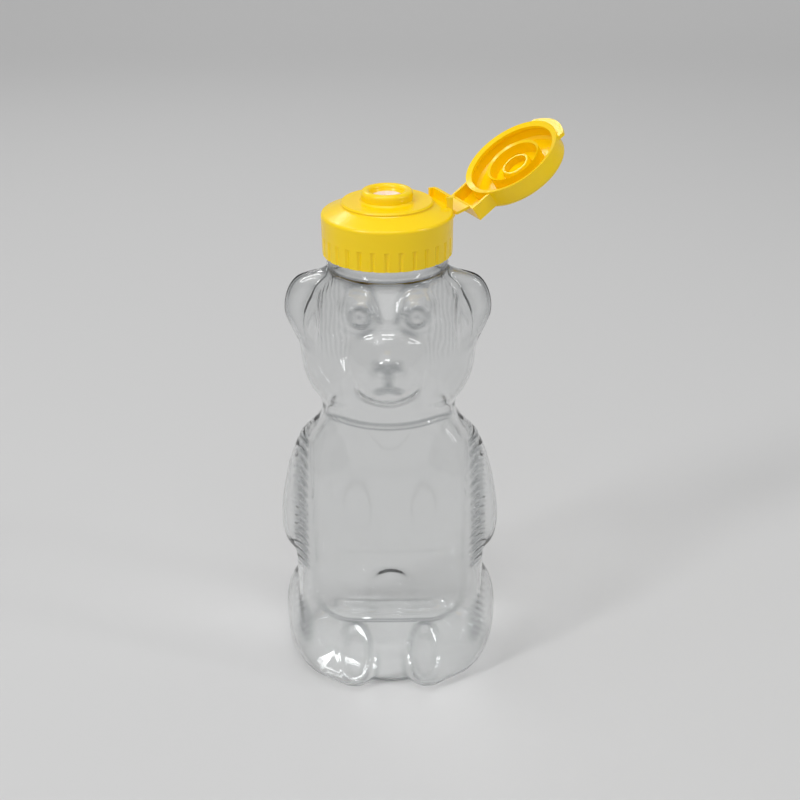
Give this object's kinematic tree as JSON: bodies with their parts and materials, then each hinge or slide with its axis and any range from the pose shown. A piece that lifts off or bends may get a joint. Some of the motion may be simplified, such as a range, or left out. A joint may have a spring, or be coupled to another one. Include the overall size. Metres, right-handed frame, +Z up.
{
  "type": "honey bear bottle",
  "caption": "Clear blown squeeze bottle in the form of a seated bear, with a screw closure, slit valve and flip-top lid on a folding strap.",
  "frame": {"origin": "centre of the flat base, on the bottle's axis", "axes": "+Z up along the bottle's axis, -Y the way the bear faces, +X to the right as the bear is seen from the front"},
  "size_m": [0.0919, 0.0703, 0.1833],
  "materials": {
    "clear_pet": "clear, glossy blow-moulded",
    "yellow_pp": "semi-gloss injection-moulded",
    "valve_silicone": "translucent silicone",
    "natural_pp": "satin"
  },
  "bodies": {
    "bottle": {"bear_body": "clear_pet", "neck_finish": "clear_pet"},
    "cap_lifter": {"valve_retainer": "natural_pp"},
    "cap": {"cap_base": "yellow_pp", "slit_valve": "valve_silicone"},
    "strap": {"hinge_strap": "yellow_pp"},
    "lid": {"lid": "yellow_pp"}
  },
  "joints": [
    {"name": "cap_lift", "type": "slide", "parent": "bottle", "child": "cap_lifter", "axis": [0, 0, 1], "range_m": [0, 0.0053]},
    {"name": "cap_turn", "type": "hinge", "parent": "cap_lifter", "child": "cap", "pos_m": [0, 0, 0.1599], "axis": [0, 0, 1], "range_deg": [0, 450]},
    {"name": "strap_fold", "type": "hinge", "parent": "cap", "child": "strap", "pos_m": [0.01881, 0.00877, 0.1591], "axis": [-0.4226, 0.9063, 0], "range_deg": [-95, 32]},
    {"name": "lid_fold", "type": "hinge", "parent": "strap", "child": "lid", "pos_m": [0.02356, 0.01098, 0.16077], "axis": [-0.4226, 0.9063, 0], "range_deg": [-72.35, 10]}
  ],
  "couplings": [
    {"joint": "cap_lift", "follows": "cap_turn", "m_per_rad": 0.00067367},
    {"joint": "strap_fold", "follows": "lid_fold", "ratio": 1}
  ]
}
